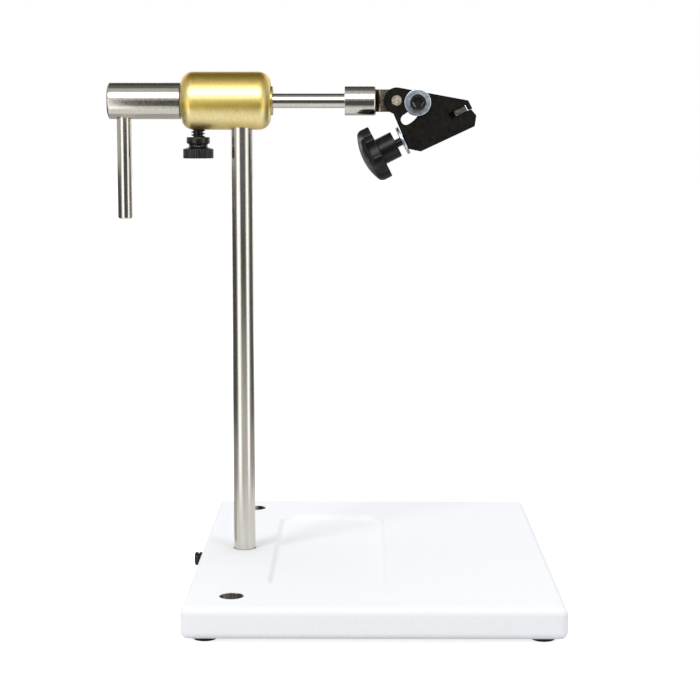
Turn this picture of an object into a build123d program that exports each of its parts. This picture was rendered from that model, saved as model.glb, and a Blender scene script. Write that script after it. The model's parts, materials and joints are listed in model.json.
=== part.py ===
from build123d import *
import math
import os

# Rotary fly tying vise on a pedestal base.
# +X runs along the arm towards the jaw, +Y points away from the tyer, +Z is up.
# The origin is the middle of the vise's outline, on the surface it stands on.
# Sizes are millimetres and degrees.

# Clearances
running_clearance = 0.05
seat_clearance = 0.02
face_clearance = 0.05
tip_clearance = 0.05

# Base plate with its tray, stem hole and accessory sockets
base_width = 152.4
base_depth = 203.2
base_thickness = 12.7
base_edge_radius = 3.0
socket_inset = 19.05
socket_diameter = 9.6
tray_inset = 32.9
tray_width = 48.8
tray_length = 132.0
tray_corner_radius = 10.0
tray_depth = 2.0
tray_rim_radius = 0.7
tray_floor_radius = 1.2

# Rubber feet
foot_height = 1.8
foot_top_diameter = 10.2
foot_bottom_diameter = 9.4
foot_inset = 9.2

# Base clamp screw and the shoe that it presses on the stem
base_screw_height = 7.5
base_screw_diameter = 4.17
base_screw_head_diameter = 5.9
base_screw_flange = 1.2
base_screw_groove = 0.4
base_screw_groove_depth = 0.6
base_screw_cap = 1.6
base_screw_stand_off = 0.15
base_screw_round = 0.6
base_shoe_length = 3.0

# Stem
stem_diameter = 9.525
stem_lift = 0.6
stem_chamfer = 0.5
axis_height = 198.1

# Rotary housing
housing_diameter = 25.0
housing_length = 38.75
housing_reach = 12.65
housing_edge_radius = 5.2
housing_web = 1.75
stem_screw_diameter = 3.2
grub_recess = 0.4

# Spindle, bushings and retaining ring
spindle_diameter = 6.35
bushing_diameter = 9.525
front_bushing_length = 12.0
bushing_flange_diameter = 12.6
bushing_flange = 0.9
rear_bushing_length = 3.5
rear_bushing_proud = 0.25
ring_diameter = 8.8
ring_thickness = 0.8
ring_gap_angle = 60.0
groove_depth = 0.55
ring_clearance = 0.1

# Drag thumb screw and pad
drag_thread_diameter = 6.35
drag_pad_diameter = 5.0
drag_pad_length = 3.0
drag_pad_to_ring = 0.45
drag_thread_shown = 3.15
drag_collar_diameter = 10.1
drag_collar = 2.7
drag_neck_diameter = 8.1
drag_neck = 2.65
drag_flare = 0.8
drag_head_diameter = 13.2
drag_head = 3.5
drag_chamfer = 0.5

# Crank
hub_diameter = 15.875
hub_length = 31.35
hub_clearance = 0.1
hub_edge_radius = 0.4
hub_screw_diameter = 4.2
hub_screw_inset = 8.6
handle_diameter = 6.35
handle_inset = 6.6
handle_drop = 51.0
handle_seat = 4.5
handle_chamfer = 0.7
handle_to_spindle = 1.5

# Head yoke
arm_reach = 44.8
collar_diameter = 12.7
collar_length = 13.5
collar_chamfer = 0.7
collar_floor = 2.2
neck_diameter = 9.4
neck_length = 2.6
pivot_reach = 8.9
tang_height = 8.6
tang_end_radius = 4.0

# Jaw head
head_angle = 27.0
tilt_range = 58.0
cheek_thickness = 3.175
cheek_gap = 4.7625
cheek_round_radius = 5.6
cheek_waist = 3.6
cheek_waist_fillet = 2.5
cheek_rear = 4.7
cheek_heel_run = 4.1
cheek_heel_rise = 3.3
cheek_bottom_rise = 0.9
cheek_bevel = 0.3
pivot_pin_diameter = 4.7625
pivot_pin_chamfer = 0.3

# Angle screw in the arc slot
angle_screw_radius = 9.1
angle_screw_dip = 5.2
angle_screw_diameter = 4.17
angle_slot_width = 4.6
angle_head_diameter = 6.86
angle_head = 4.2
angle_hex = 3.57
angle_hex_depth = 2.2
angle_head_chamfer = 0.35
angle_washer_diameter = 11.5
angle_washer = 1.2
angle_nut_flats = 8.73
angle_nut = 3.3
angle_screw_tail = 1.0

# Jaw slot, hooked lip and lower lip
jaw_slot_width = 3.2
jaw_slot_length = 8.55
jaw_slot_corner = 0.5
jaw_lip_reach = 27.4
jaw_lip_thickness = 1.3
jaw_lip_height = 1.0
jaw_lip_lap = 2.8
jaw_lip_slope = 0.25
jaw_lip_round = 0.5
jaw_entry = 0.25
lower_lip_reach = 27.75
lower_lip_drop = 3.1
lower_lip_depth = 6.95
lower_lip_taper = 2.7
lower_lip_round = 0.35

# Clamp block, stud, washer, knob and push bar
stud_diameter = 4.17
block_wall = 1.0
sweep_clearance = 0.35
block_start = 5.0
block_length = 8.0
block_bottom_wall = 1.5
rivet_diameter = 2.4
rivet_inset = 1.9
clamp_washer_diameter = 12.7
clamp_washer = 1.2
stud_shown = 2.6
knob_hub_diameter = 11.7
knob_hub = 7.6
knob_diameter = 23.5
knob_rim = 5.3
knob_crown = 3.0
knob_edge_radius = 1.8
knob_lobes = 7
knob_scallop_radius = 14.0
knob_scallop_depth = 1.2
knob_socket = 11.0
bar_gap = 0.95
bar_key_length = 5.55
bar_recess = 0.3
bar_key_clearance = 0.25
bar_tail_length = 3.9
bar_tail_height = 4.0

# Places worked out from the sizes above
stem_radius = stem_diameter / 2
housing_radius = housing_diameter / 2
spindle_radius = spindle_diameter / 2
bushing_radius = bushing_diameter / 2
pin_radius = pivot_pin_diameter / 2
stud_radius = stud_diameter / 2
angle_screw_r = angle_screw_diameter / 2

reach_left = housing_length - housing_reach + rear_bushing_proud + hub_clearance + hub_length
reach_right = base_width - socket_inset
stem_x = (reach_left - reach_right) / 2
base_left = stem_x - socket_inset
base_x = base_left + base_width / 2
base_top = foot_height + base_thickness
base_screw_z = foot_height + base_screw_height
axis_z = base_top + axis_height

housing_rear = stem_x + housing_reach - housing_length
housing_front = stem_x + housing_reach
housing_bottom = axis_z - housing_radius
stem_top = axis_z - bushing_radius - housing_web
stem_seat = stem_top - housing_bottom
stem_screw_z = housing_bottom + stem_seat / 2

rear_bushing_end = housing_rear - rear_bushing_proud + rear_bushing_length
ring_x = rear_bushing_end + ring_clearance
ring_inner_radius = spindle_radius - groove_depth + running_clearance
drag_x = ring_x + ring_thickness + drag_pad_to_ring + drag_pad_diameter / 2
pad_top = axis_z - spindle_radius - tip_clearance
pad_bottom = pad_top - drag_pad_length

hub_front = housing_rear - rear_bushing_proud - hub_clearance
hub_rear = hub_front - hub_length
handle_x = hub_rear + handle_inset
hub_screw_x = hub_front - hub_screw_inset
spindle_rear = handle_x + handle_diameter / 2 + handle_to_spindle

yoke_rear = stem_x + arm_reach
yoke_front = yoke_rear + collar_length
spindle_front = yoke_front - collar_floor - tip_clearance
pivot_x = yoke_front + pivot_reach
tang_thickness = cheek_gap - 2 * face_clearance
tang_sweep = angle_screw_radius + tang_end_radius

head_half = cheek_gap / 2 + cheek_thickness
slot_start = head_angle + angle_screw_dip
clamp_drop = tang_sweep + sweep_clearance + block_wall + stud_radius
slot_top = clamp_drop - jaw_slot_width / 2
slot_bottom = clamp_drop + jaw_slot_width / 2
lip_inner = jaw_lip_reach - jaw_lip_thickness
slot_rear = lip_inner - jaw_slot_length
lip_top = slot_top - jaw_lip_height
cheek_bottom = slot_bottom + lower_lip_depth
rivet_v = (clamp_drop + stud_radius + cheek_bottom) / 2
block_top = tang_sweep + sweep_clearance
block_bottom = cheek_bottom - block_bottom_wall
block_end = block_start + block_length
washer_rear = -cheek_rear - clamp_washer
knob_front = washer_rear - stud_shown
bar_front = lip_inner - bar_gap
bar_key_rear = bar_front - bar_key_length
bar_tail_rear = bar_key_rear - bar_tail_length

# Working planes: the head's side view, the clamp's axis and the yoke's side view
head_u = Vector(math.cos(math.radians(head_angle)), 0, math.sin(math.radians(head_angle)))
head_side = Plane((pivot_x, 0, axis_z), x_dir=head_u, z_dir=(0, 1, 0))
clamp_side = Plane(head_side.from_local_coords((0, clamp_drop, 0)), x_dir=head_u, z_dir=(0, 1, 0))
clamp_axis = Axis(clamp_side.origin, head_u)
yoke_side = Plane((pivot_x, 0, axis_z), x_dir=(1, 0, 0), z_dir=(0, -1, 0))
angle_screw_place = (
    angle_screw_radius * math.cos(math.radians(angle_screw_dip)),
    -angle_screw_radius * math.sin(math.radians(angle_screw_dip)),
)


def station(x):
    return Plane((x, 0, axis_z), x_dir=(0, 1, 0), z_dir=(1, 0, 0))


def angle_station(y):
    place = yoke_side.from_local_coords((angle_screw_place[0], angle_screw_place[1], 0))
    return Plane((place.X, y, place.Z), x_dir=(1, 0, 0), z_dir=(0, 1, 0))


# Base plate: a rounded slab with a shallow tray, open sockets and the clamp screw's side hole
with BuildPart() as base_plate:
    with BuildSketch(Plane.XY.offset(foot_height)):
        with Locations((base_x, 0)):
            Rectangle(base_width, base_depth)
    extrude(amount=base_thickness)
    fillet(base_plate.edges(), radius=base_edge_radius)
    with BuildSketch(Plane.XY.offset(base_top)):
        with Locations((base_left + tray_inset + tray_width / 2, 0)):
            RectangleRounded(tray_width, tray_length, tray_corner_radius)
    extrude(amount=-tray_depth, mode=Mode.SUBTRACT)
    tray_floor = base_plate.faces().filter_by(Plane.XY).sort_by(Axis.Z)[-2]
    fillet(tray_floor.edges(), radius=min(tray_floor_radius, 0.6 * tray_depth))
    tray_top = base_plate.faces().filter_by(Plane.XY).sort_by(Axis.Z)[-1]
    fillet(tray_top.inner_wires()[0].edges(), radius=min(tray_rim_radius, 0.35 * tray_depth))
    with Locations((stem_x, 0, base_top)):
        Hole(radius=stem_radius + running_clearance, depth=base_thickness)
    with Locations((base_left + socket_inset, 0, base_top)):
        with GridLocations(0, base_depth - 2 * socket_inset, 1, 2):
            Hole(radius=socket_diameter / 2, depth=base_thickness)
    with BuildSketch(Plane((base_left, 0, base_screw_z), x_dir=(0, 1, 0), z_dir=(1, 0, 0))):
        Circle(base_screw_diameter / 2 + running_clearance)
    extrude(amount=socket_inset, mode=Mode.SUBTRACT)

# Four tapered pads under the corners
with BuildPart() as rubber_feet:
    with Locations((base_x, 0, 0)):
        with GridLocations(base_width - 2 * foot_inset, base_depth - 2 * foot_inset, 2, 2):
            Cone(
                foot_bottom_diameter / 2,
                foot_top_diameter / 2,
                foot_height,
                align=(Align.CENTER, Align.CENTER, Align.MIN),
            )

# Stem, clamped in the base and fixed in the housing
with BuildPart() as stem:
    with BuildSketch(Plane((stem_x, 0, foot_height + stem_lift))):
        Circle(stem_radius)
    extrude(amount=stem_top - tip_clearance - foot_height - stem_lift)
    chamfer(stem.edges().filter_by(GeomType.CIRCLE), length=stem_chamfer)

# Brass shoe, hollowed to the stem's radius
shoe_front = stem_x - stem_radius - tip_clearance
shoe_rear = shoe_front - base_shoe_length
with BuildPart() as base_clamp_shoe:
    with BuildSketch(Plane((shoe_rear, 0, base_screw_z), x_dir=(0, 1, 0), z_dir=(1, 0, 0))):
        Circle(base_screw_diameter / 2)
    extrude(amount=base_shoe_length + stem_radius)
    with BuildSketch(Plane((stem_x, 0, foot_height))):
        Circle(stem_radius + tip_clearance)
    extrude(amount=base_thickness, mode=Mode.SUBTRACT)

# Base clamp screw: plain shank, flange, groove and rounded cap
base_screw_side = Plane((base_left, 0, base_screw_z), x_dir=(-1, 0, 0), z_dir=(0, 1, 0))
base_screw_head_r = base_screw_head_diameter / 2
base_screw_tip = base_left - shoe_rear + tip_clearance
groove_start = base_screw_stand_off + base_screw_flange
cap_start = groove_start + base_screw_groove
cap_end = cap_start + base_screw_cap
with BuildPart() as base_clamp_screw:
    with BuildSketch(base_screw_side):
        with BuildLine():
            Polyline(
                (base_screw_tip, 0),
                (base_screw_tip, base_screw_diameter / 2),
                (base_screw_stand_off, base_screw_diameter / 2),
                (base_screw_stand_off, base_screw_head_r),
                (groove_start, base_screw_head_r),
                (groove_start, base_screw_head_r - base_screw_groove_depth),
                (cap_start, base_screw_head_r - base_screw_groove_depth),
                (cap_start, base_screw_head_r),
                (cap_end, base_screw_head_r),
                (cap_end, 0),
                close=True,
            )
        make_face()
    revolve(axis=Axis((base_left, 0, base_screw_z), (1, 0, 0)))
    fillet(base_clamp_screw.edges().sort_by(Axis.X)[0], radius=base_screw_round)

# Rotary housing: round-ended brass barrel with a through bore
with BuildPart() as rotary_housing:
    with BuildSketch(station(housing_rear)):
        Circle(housing_radius)
    extrude(amount=housing_length)
    fillet(rotary_housing.edges().filter_by(GeomType.CIRCLE), radius=housing_edge_radius)
    with BuildSketch(station(housing_rear)):
        Circle(bushing_radius + seat_clearance)
    extrude(amount=housing_length, mode=Mode.SUBTRACT)
    with BuildSketch(Plane((stem_x, 0, housing_bottom))):
        Circle(stem_radius + seat_clearance)
    extrude(amount=stem_seat, mode=Mode.SUBTRACT)
    with BuildSketch(Plane((drag_x, 0, housing_bottom))):
        Circle(drag_thread_diameter / 2 + running_clearance)
    extrude(amount=housing_radius, mode=Mode.SUBTRACT)
    with BuildSketch(Plane((stem_x, 0, stem_screw_z), x_dir=(1, 0, 0), z_dir=(0, 1, 0))):
        Circle(stem_screw_diameter / 2 + seat_clearance)
    extrude(amount=housing_radius, mode=Mode.SUBTRACT)

# Grub screw that holds the housing on the stem, on the far side
stem_screw_start = stem_radius + tip_clearance
housing_half_at_screw = math.sqrt(housing_radius**2 - (axis_z - stem_screw_z) ** 2)
with BuildPart() as stem_set_screw:
    with BuildSketch(Plane((stem_x, stem_screw_start, stem_screw_z), x_dir=(1, 0, 0), z_dir=(0, 1, 0))):
        Circle(stem_screw_diameter / 2)
    extrude(amount=housing_half_at_screw - grub_recess - stem_screw_start)

# Flanged front bushing and plain rear bushing
with BuildPart() as front_bushing:
    with BuildSketch(station(housing_front - front_bushing_length)):
        Circle(bushing_radius)
    extrude(amount=front_bushing_length)
    with BuildSketch(station(housing_front)):
        Circle(bushing_flange_diameter / 2)
    extrude(amount=bushing_flange)
    with BuildSketch(station(housing_front - front_bushing_length)):
        Circle(spindle_radius + running_clearance)
    extrude(amount=front_bushing_length + bushing_flange, mode=Mode.SUBTRACT)

with BuildPart() as rear_bushing:
    with BuildSketch(station(housing_rear - rear_bushing_proud)):
        Circle(bushing_radius)
        Circle(spindle_radius + running_clearance, mode=Mode.SUBTRACT)
    extrude(amount=rear_bushing_length)

# Spindle with the retaining ring's groove
with BuildPart() as spindle_shaft:
    with BuildSketch(station(spindle_rear)):
        Circle(spindle_radius)
    extrude(amount=spindle_front - spindle_rear)
    with BuildSketch(station(ring_x - ring_clearance / 2)):
        Circle(spindle_radius)
        Circle(spindle_radius - groove_depth, mode=Mode.SUBTRACT)
    extrude(amount=ring_thickness + ring_clearance, mode=Mode.SUBTRACT)

# Open retaining ring
with BuildPart() as retaining_ring:
    with BuildSketch(station(ring_x)):
        Circle(ring_diameter / 2)
        Circle(ring_inner_radius, mode=Mode.SUBTRACT)
        with BuildLine():
            gap_sin = ring_diameter * math.sin(math.radians(ring_gap_angle / 2))
            gap_cos = ring_diameter * math.cos(math.radians(ring_gap_angle / 2))
            Polyline((0, 0), (gap_cos, gap_sin), (gap_cos, -gap_sin), close=True)
        make_face(mode=Mode.SUBTRACT)
    extrude(amount=ring_thickness)

# Nylon drag pad, hollowed to the spindle's radius
with BuildPart() as drag_pad:
    with BuildSketch(Plane((drag_x, 0, pad_bottom))):
        Circle(drag_pad_diameter / 2)
    extrude(amount=drag_pad_length + spindle_radius)
    with BuildSketch(station(drag_x - drag_pad_diameter)):
        Circle(spindle_radius + tip_clearance)
    extrude(amount=2 * drag_pad_diameter, mode=Mode.SUBTRACT)

# Drag thumb screw: shank, collar, waisted neck and head
drag_thread_r = drag_thread_diameter / 2
drag_collar_r = drag_collar_diameter / 2
drag_neck_r = drag_neck_diameter / 2
drag_head_r = drag_head_diameter / 2
collar_top = housing_bottom - drag_thread_shown
collar_bottom = collar_top - drag_collar
head_top = collar_bottom - drag_neck
head_bottom = head_top - drag_head
with BuildPart() as drag_screw:
    with BuildSketch(Plane((drag_x, 0, 0), x_dir=(1, 0, 0), z_dir=(0, -1, 0))):
        with BuildLine():
            Polyline(
                (0, pad_bottom - tip_clearance),
                (drag_thread_r, pad_bottom - tip_clearance),
                (drag_thread_r, collar_top),
                (drag_collar_r, collar_top),
                (drag_collar_r, collar_bottom),
                (drag_neck_r, collar_bottom - drag_flare / 2),
                (drag_neck_r, head_top + drag_flare),
                (drag_head_r - drag_chamfer, head_top),
                (drag_head_r, head_top - drag_chamfer),
                (drag_head_r, head_bottom + drag_chamfer),
                (drag_head_r - drag_chamfer, head_bottom),
                (0, head_bottom),
                close=True,
            )
        make_face()
    revolve(axis=Axis((drag_x, 0, 0), (0, 0, 1)))

# Crank hub, bored for the spindle, the handle and a grub screw on top
with BuildPart() as crank_hub:
    with BuildSketch(station(hub_rear)):
        Circle(hub_diameter / 2)
    extrude(amount=hub_length)
    fillet(crank_hub.edges().filter_by(GeomType.CIRCLE).sort_by(Axis.X)[0], radius=hub_edge_radius)
    with BuildSketch(station(spindle_rear - tip_clearance)):
        Circle(spindle_radius + seat_clearance)
    extrude(amount=hub_front - spindle_rear + tip_clearance, mode=Mode.SUBTRACT)
    with BuildSketch(Plane((handle_x, 0, axis_z - hub_diameter))):
        Circle(handle_diameter / 2 + seat_clearance)
    extrude(amount=hub_diameter + handle_seat + tip_clearance, mode=Mode.SUBTRACT)
    with BuildSketch(Plane((hub_screw_x, 0, axis_z))):
        Circle(hub_screw_diameter / 2 + seat_clearance)
    extrude(amount=hub_diameter, mode=Mode.SUBTRACT)

with BuildPart() as hub_set_screw:
    with BuildSketch(Plane((hub_screw_x, 0, axis_z + spindle_radius + tip_clearance))):
        Circle(hub_screw_diameter / 2)
    extrude(amount=hub_diameter / 2 - grub_recess - spindle_radius - tip_clearance)

with BuildPart() as crank_handle:
    with BuildSketch(Plane((handle_x, 0, axis_z - handle_drop))):
        Circle(handle_diameter / 2)
    extrude(amount=handle_drop + handle_seat)
    chamfer(crank_handle.edges().filter_by(GeomType.CIRCLE).sort_by(Axis.Z)[0], length=handle_chamfer)

# Yoke: collar on the spindle, round neck and flat tang between the cheeks
with BuildPart() as head_yoke:
    with BuildSketch(station(yoke_rear)):
        Circle(collar_diameter / 2)
    extrude(amount=collar_length)
    chamfer(head_yoke.edges().filter_by(GeomType.CIRCLE).sort_by(Axis.X)[-1], length=collar_chamfer)
    with BuildSketch(station(yoke_front)):
        Circle(neck_diameter / 2)
    extrude(amount=neck_length)
    with BuildSketch(yoke_side.offset(-tang_thickness / 2)):
        Circle(tang_height / 2)
        with Locations(angle_screw_place):
            Circle(tang_end_radius)
        make_hull()
        with Locations((-pivot_reach / 2, 0)):
            Rectangle(pivot_reach, tang_height)
        Circle(pin_radius + running_clearance, mode=Mode.SUBTRACT)
        with Locations(angle_screw_place):
            Circle(angle_screw_r + running_clearance, mode=Mode.SUBTRACT)
    extrude(amount=tang_thickness)
    with BuildSketch(station(yoke_rear)):
        Circle(spindle_radius + seat_clearance)
    extrude(amount=collar_length - collar_floor, mode=Mode.SUBTRACT)

# Cheek outline in the head's side view: u runs along the jaw, v runs down from the pivot
lip_corner = (jaw_lip_reach, lip_top)
lip_distance = math.hypot(lip_corner[0], lip_corner[1])
tangent_angle = math.atan2(lip_corner[1], lip_corner[0]) - math.acos(cheek_round_radius / lip_distance)
top_tangent = (
    cheek_round_radius * math.cos(tangent_angle),
    cheek_round_radius * math.sin(tangent_angle),
)
lip_bottom = slot_top + jaw_lip_lap
lower_tip = (lower_lip_reach, slot_bottom + lower_lip_drop)
heel_v = cheek_bottom - cheek_bottom_rise
waist = (-cheek_waist, math.sqrt(cheek_round_radius**2 - cheek_waist**2))
rivet_places = [
    (block_start + rivet_inset, rivet_v),
    (block_end - rivet_inset, rivet_v),
]
with BuildSketch() as cheek_profile:
    with BuildLine():
        Polyline(
            top_tangent,
            lip_corner,
            (jaw_lip_reach, lip_bottom + jaw_lip_slope),
            (lip_inner, lip_bottom),
            (lip_inner, slot_top),
            (slot_rear, slot_top),
            (slot_rear, slot_bottom),
            (lip_inner - jaw_entry, slot_bottom),
            lower_tip,
            (lower_lip_reach - lower_lip_taper, cheek_bottom),
            (cheek_heel_run - cheek_rear, heel_v),
            (-cheek_rear, heel_v - cheek_heel_rise),
            (-cheek_waist, 0),
            close=True,
        )
    make_face()
    Circle(cheek_round_radius)
    fillet(cheek_profile.vertices().sort_by_distance((waist[0], waist[1], 0))[0], radius=cheek_waist_fillet)
    fillet(cheek_profile.vertices().sort_by_distance((lip_corner[0], lip_corner[1], 0))[0], radius=jaw_lip_round)
    fillet(cheek_profile.vertices().sort_by_distance((lower_tip[0], lower_tip[1], 0))[0], radius=lower_lip_round)
    fillet(cheek_profile.vertices().sort_by_distance((slot_rear, clamp_drop, 0))[0:2], radius=jaw_slot_corner)
    Circle(pin_radius + seat_clearance, mode=Mode.SUBTRACT)
    SlotArc(
        CenterArc((0, 0), angle_screw_radius, slot_start, tilt_range, mode=Mode.PRIVATE),
        angle_slot_width,
        mode=Mode.SUBTRACT,
    )
    with Locations(*rivet_places):
        Circle(rivet_diameter / 2 + seat_clearance, mode=Mode.SUBTRACT)

with BuildPart() as near_cheek:
    with BuildSketch(head_side.offset(-head_half)):
        add(cheek_profile.sketch)
    extrude(amount=cheek_thickness)
    chamfer(near_cheek.faces().sort_by(Axis.Y)[0].outer_wire().edges(), length=cheek_bevel)

with BuildPart() as far_cheek:
    with BuildSketch(head_side.offset(cheek_gap / 2)):
        add(cheek_profile.sketch)
    extrude(amount=cheek_thickness)
    chamfer(far_cheek.faces().sort_by(Axis.Y)[-1].outer_wire().edges(), length=cheek_bevel)

with BuildPart() as pivot_pin:
    with BuildSketch(yoke_side.offset(-head_half)):
        Circle(pin_radius)
    extrude(amount=2 * head_half)
    chamfer(pivot_pin.edges().filter_by(GeomType.CIRCLE), length=pivot_pin_chamfer)

# Angle screw, its two washers and its nut
washer_face = head_half + face_clearance
head_face = washer_face + angle_washer
nut_end = head_face + angle_nut
with BuildPart() as angle_screw:
    with BuildSketch(angle_station(-head_face - angle_head)):
        Circle(angle_head_diameter / 2)
    extrude(amount=angle_head)
    chamfer(angle_screw.edges().filter_by(GeomType.CIRCLE).sort_by(Axis.Y)[0], length=angle_head_chamfer)
    with BuildSketch(angle_station(-head_face)):
        Circle(angle_screw_r)
    extrude(amount=head_face + nut_end + angle_screw_tail)
    with BuildSketch(angle_station(-head_face - angle_head)):
        RegularPolygon(angle_hex / 2, side_count=6, major_radius=False, rotation=30)
    extrude(amount=angle_hex_depth, mode=Mode.SUBTRACT)

with BuildPart() as angle_washers:
    for washer_start in (-head_face, washer_face):
        with BuildSketch(angle_station(washer_start)):
            Circle(angle_washer_diameter / 2)
            Circle(angle_screw_r + running_clearance, mode=Mode.SUBTRACT)
        extrude(amount=angle_washer)

with BuildPart() as angle_nut_piece:
    with BuildSketch(angle_station(head_face)):
        RegularPolygon(angle_nut_flats / 2, side_count=6, major_radius=False)
        Circle(angle_screw_r + running_clearance, mode=Mode.SUBTRACT)
    extrude(amount=angle_nut)

# Threaded block between the cheeks and the rivets that hold it
with BuildPart() as clamp_block:
    with BuildSketch(head_side.offset(-cheek_gap / 2)):
        with Locations((block_start + block_length / 2, (block_top + block_bottom) / 2)):
            Rectangle(block_length, block_bottom - block_top)
        with Locations(*rivet_places):
            Circle(rivet_diameter / 2 + seat_clearance, mode=Mode.SUBTRACT)
    extrude(amount=cheek_gap)
    with BuildSketch(Plane(clamp_side.origin, x_dir=(0, 1, 0), z_dir=head_u)):
        Circle(stud_radius + running_clearance)
    extrude(amount=block_end, mode=Mode.SUBTRACT)

with BuildPart() as cheek_rivets:
    with BuildSketch(head_side.offset(-head_half)):
        with Locations(*rivet_places):
            Circle(rivet_diameter / 2)
    extrude(amount=2 * head_half)

# Washer at the rear edge, and the stud that passes through it
with BuildPart() as clamp_washer_piece:
    with BuildSketch(Plane(clamp_side.from_local_coords((washer_rear, 0, 0)), x_dir=(0, 1, 0), z_dir=head_u)):
        Circle(clamp_washer_diameter / 2)
        Circle(stud_radius + running_clearance, mode=Mode.SUBTRACT)
    extrude(amount=clamp_washer)

stud_start = knob_front - knob_socket
stud_end = bar_tail_rear - tip_clearance
with BuildPart() as clamp_stud:
    with BuildSketch(Plane(clamp_side.from_local_coords((stud_start, 0, 0)), x_dir=(0, 1, 0), z_dir=head_u)):
        Circle(stud_radius)
    extrude(amount=stud_end - stud_start)

# Lobed knob: hub, scalloped rim and domed crown
rim_front = knob_front - knob_hub
rim_rear = rim_front - knob_rim
crown = rim_rear - knob_crown
knob_radius = knob_diameter / 2
scallop_center = knob_radius - knob_scallop_depth + knob_scallop_radius
with BuildPart() as clamp_knob:
    with BuildSketch(clamp_side) as knob_profile:
        with BuildLine():
            Polyline(
                (crown, 0),
                (knob_front, 0),
                (knob_front, knob_hub_diameter / 2),
                (rim_front, knob_hub_diameter / 2),
                (rim_front, knob_radius),
                (rim_rear, knob_radius),
            )
            TangentArc((crown, 0), (rim_rear, knob_radius), tangent=(0, 1))
        make_face()
        fillet(knob_profile.vertices().sort_by_distance((rim_rear, knob_radius, 0))[0], radius=knob_edge_radius)
    revolve(axis=clamp_axis)
    with BuildSketch(Plane(clamp_side.from_local_coords((crown, 0, 0)), x_dir=(0, 1, 0), z_dir=head_u)):
        with PolarLocations(scallop_center, knob_lobes):
            Circle(knob_scallop_radius)
    extrude(amount=rim_front - crown, mode=Mode.SUBTRACT)
    with BuildSketch(Plane(clamp_side.from_local_coords((stud_start, 0, 0)), x_dir=(0, 1, 0), z_dir=head_u)):
        Circle(stud_radius + seat_clearance)
    extrude(amount=knob_socket, mode=Mode.SUBTRACT)

# Push bar: a tail between the cheeks and a key that rides in both jaw slots
with BuildPart() as push_bar:
    with BuildSketch(clamp_side.offset(-head_half + bar_recess)):
        with Locations((bar_key_rear + bar_key_length / 2, 0)):
            Rectangle(bar_key_length, jaw_slot_width - 2 * bar_key_clearance)
    extrude(amount=2 * (head_half - bar_recess))
    with BuildSketch(clamp_side.offset(-tang_thickness / 2)):
        with Locations((bar_tail_rear + bar_tail_length / 2, 0)):
            Rectangle(bar_tail_length, bar_tail_height)
    extrude(amount=tang_thickness)

pieces = {
    "base_plate": base_plate,
    "rubber_feet": rubber_feet,
    "base_clamp_screw": base_clamp_screw,
    "base_clamp_shoe": base_clamp_shoe,
    "stem": stem,
    "rotary_housing": rotary_housing,
    "stem_set_screw": stem_set_screw,
    "front_bushing": front_bushing,
    "rear_bushing": rear_bushing,
    "spindle_shaft": spindle_shaft,
    "retaining_ring": retaining_ring,
    "drag_pad": drag_pad,
    "drag_screw": drag_screw,
    "crank_hub": crank_hub,
    "hub_set_screw": hub_set_screw,
    "crank_handle": crank_handle,
    "head_yoke": head_yoke,
    "near_cheek": near_cheek,
    "far_cheek": far_cheek,
    "pivot_pin": pivot_pin,
    "angle_screw": angle_screw,
    "angle_washers": angle_washers,
    "angle_nut": angle_nut_piece,
    "clamp_block": clamp_block,
    "cheek_rivets": cheek_rivets,
    "clamp_washer": clamp_washer_piece,
    "clamp_stud": clamp_stud,
    "clamp_knob": clamp_knob,
    "push_bar": push_bar,
}
os.makedirs("parts", exist_ok=True)
for name, piece in pieces.items():
    piece.part.label = name
    export_step(piece.part, f"parts/{name}.step")
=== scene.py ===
import bpy
import bmesh
import json
from math import sin, cos, sqrt, pi, radians, degrees, atan2, acos, hypot
from mathutils import Matrix, Vector


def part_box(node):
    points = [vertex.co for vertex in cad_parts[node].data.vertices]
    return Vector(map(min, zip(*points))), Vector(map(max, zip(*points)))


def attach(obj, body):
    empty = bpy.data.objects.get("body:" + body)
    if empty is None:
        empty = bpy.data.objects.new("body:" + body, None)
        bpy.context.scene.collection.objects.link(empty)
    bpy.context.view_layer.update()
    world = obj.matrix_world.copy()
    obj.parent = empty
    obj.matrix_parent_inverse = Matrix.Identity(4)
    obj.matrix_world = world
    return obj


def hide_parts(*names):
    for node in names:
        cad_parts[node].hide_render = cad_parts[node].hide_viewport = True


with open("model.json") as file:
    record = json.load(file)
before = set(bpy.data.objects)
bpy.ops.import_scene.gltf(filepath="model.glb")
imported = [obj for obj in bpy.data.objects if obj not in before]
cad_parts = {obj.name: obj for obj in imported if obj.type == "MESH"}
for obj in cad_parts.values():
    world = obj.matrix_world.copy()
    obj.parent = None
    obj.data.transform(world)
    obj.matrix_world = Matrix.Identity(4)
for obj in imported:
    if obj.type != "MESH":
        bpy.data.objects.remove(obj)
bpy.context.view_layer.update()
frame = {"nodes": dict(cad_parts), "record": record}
scene = bpy.context.scene
print("frame loaded:", len(frame["nodes"]), "nodes")

# places that the frame gives, in millimetres
joints = {joint["name"]: joint for joint in frame["record"]["behaviour"]["joints"]}


def jointAt(name):
    return [round(1000 * place, 4) for place in joints[name]["pos_m"]]


def spanOf(node, axis):
    # a node's lowest and highest reach along x, y or z
    return [round(1000 * corner["xyz".index(axis)], 4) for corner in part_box(node)]


layout = {
    "stemX": jointAt("stem_swivel")[0],     # stem, housing and base sockets
    "axisZ": jointAt("rotary_turn")[2],     # rotary axis
    "pivotX": jointAt("head_tilt")[0],      # head pivot
    "clampDrop": 16.535,                    # pivot to clamp axis
    "cheekThick": 3.175,
    "cheekGap": 4.7625,
}
clearance = 0.05                            # round a grub screw in its hole
headHalf = layout["cheekGap"] / 2 + layout["cheekThick"]
jawAxis = joints["clamp_travel"]["axis"]
lean = radians(round(degrees(atan2(jawAxis[2], jawAxis[0])), 2))     # lean of the jaw at rest


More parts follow.
